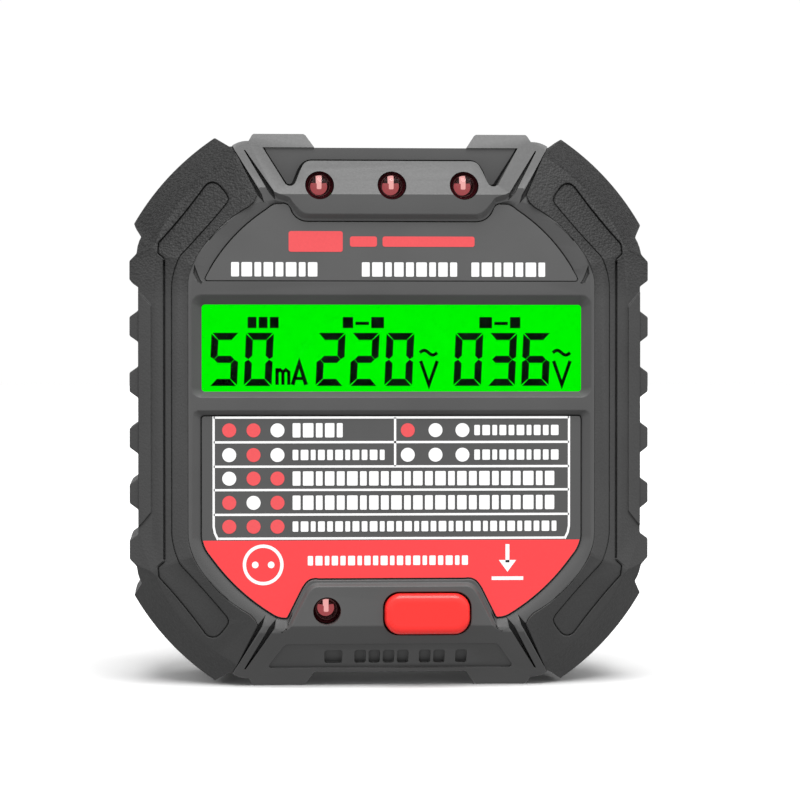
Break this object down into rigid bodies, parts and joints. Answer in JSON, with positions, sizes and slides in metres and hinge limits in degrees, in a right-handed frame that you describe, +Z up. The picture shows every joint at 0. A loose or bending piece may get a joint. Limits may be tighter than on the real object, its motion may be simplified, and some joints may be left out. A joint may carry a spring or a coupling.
{
  "type": "outlet tester plug",
  "caption": "Plug-in outlet tester with a lit display, indicator lamps, a red test button and a round two-pin earthed plug behind a soft-gripped square housing.",
  "frame": {"origin": "centre of the plug's end face, midway between the two pins", "axes": "+Y out of the plug along the pins, +Z up the face, +X to the right as the face is read"},
  "size_m": [0.066, 0.0679, 0.07],
  "materials": {
    "shell_plastic": "satin moulded ABS, fine spark texture",
    "grip_rubber": "matte soft overmould with a leather-like grain",
    "label_film": "printed satin film",
    "chart_film": "printed satin film",
    "clear_window": "clear gloss acrylic",
    "lcd_glass": "lit green display glass",
    "lcd_frame": "white moulded plastic",
    "backlight": "clear light guide",
    "elastomer": "soft silicone strip",
    "lamp_lens": "clear red epoxy",
    "tinned_metal": "bright tin plate",
    "button_plastic": "satin red plastic",
    "black_plastic": "moulded black plastic",
    "board": "green solder mask",
    "screw_steel": "zinc-plated steel",
    "pin_nickel": "nickel-plated brass, polished",
    "contact_brass": "bright brass",
    "insulator": "cream thermoset",
    "live_sleeve": "brown wire sleeve",
    "neutral_sleeve": "blue wire sleeve",
    "earth_sleeve": "green and yellow wire sleeve",
    "capacitor_case": "yellow moulded box",
    "capacitor_sleeve": "shrunk sleeve",
    "resistor_coat": "flame-proof coating"
  },
  "bodies": {
    "housing": {"front_shell": "shell_plastic", "rear_shell": "shell_plastic", "grip_front_left": "grip_rubber", "grip_front_right": "grip_rubber", "grip_rear_left": "grip_rubber", "grip_rear_right": "grip_rubber", "top_label": "label_film", "chart_label": "chart_film", "display_window": "clear_window", "lcd_glass": "lcd_glass", "lcd_frame": "lcd_frame", "backlight": "backlight", "zebra_strip": "elastomer", "lamp_left": "lamp_lens", "lamp_middle": "lamp_lens", "lamp_right": "lamp_lens", "test_lamp": "lamp_lens", "lamp_leads": "tinned_metal", "switch_base": "black_plastic", "switch_cover": "tinned_metal", "switch_dome": "contact_brass", "main_board": "board", "board_screws": "screw_steel", "case_screws": "screw_steel", "pin_left": "pin_nickel", "pin_right": "pin_nickel", "earth_clip_top": "contact_brass", "earth_clip_bottom": "contact_brass", "earth_socket": "contact_brass", "earth_bridge": "contact_brass", "pin_retainer": "insulator", "retainer_screws": "screw_steel", "live_wire": "live_sleeve", "neutral_wire": "neutral_sleeve", "earth_wire": "earth_sleeve", "dropper_capacitor": "capacitor_case", "smoothing_capacitor": "capacitor_sleeve", "test_resistors": "resistor_coat", "sense_resistors": "resistor_coat", "rectifier_diodes": "black_plastic", "triac": "black_plastic", "thermal_fuse": "insulator", "controller_chip": "black_plastic"},
    "button": {"test_button": "button_plastic", "switch_plunger": "black_plastic"}
  },
  "joints": [
    {"name": "button_press", "type": "slide", "parent": "housing", "child": "button", "axis": [0, 1, 0], "range_m": [0, 0.0005], "stiffness_N_per_m": 1500, "springref_m": -0.0002, "deforming": ["switch_dome"]}
  ]
}
